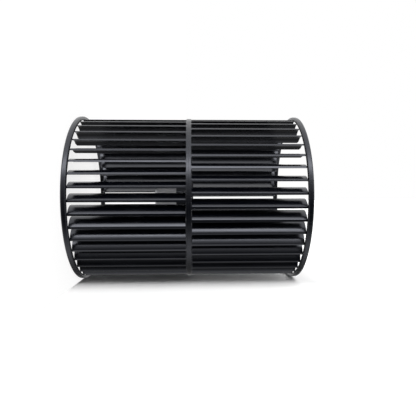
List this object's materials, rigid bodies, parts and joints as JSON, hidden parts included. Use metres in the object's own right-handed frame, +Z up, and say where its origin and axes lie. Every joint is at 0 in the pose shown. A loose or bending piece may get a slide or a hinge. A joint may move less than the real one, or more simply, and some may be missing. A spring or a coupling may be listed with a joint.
{
  "type": "double-inlet centrifugal blower wheel (ordered as a cross flow fan)",
  "caption": "Moulded plastic fan wheel with two back-to-back rings of forward-curved blades, end hoops, a centre plate and a shaft hub with a set screw.",
  "frame": {"origin": "centre of the lower end hoop's face, on the wheel's axis; the wheel stands on that hoop", "axes": "+Z up along the wheel's axis, +X along the set screw"},
  "size_m": [0.15, 0.15, 0.198],
  "materials": {
    "black_plastic": "glossy",
    "insert_metal": "satin",
    "screw_steel": "satin"
  },
  "bodies": {
    "root": {"lower_half": "black_plastic", "upper_half": "black_plastic", "hub_insert": "insert_metal", "set_screw": "screw_steel"}
  },
  "joints": []
}
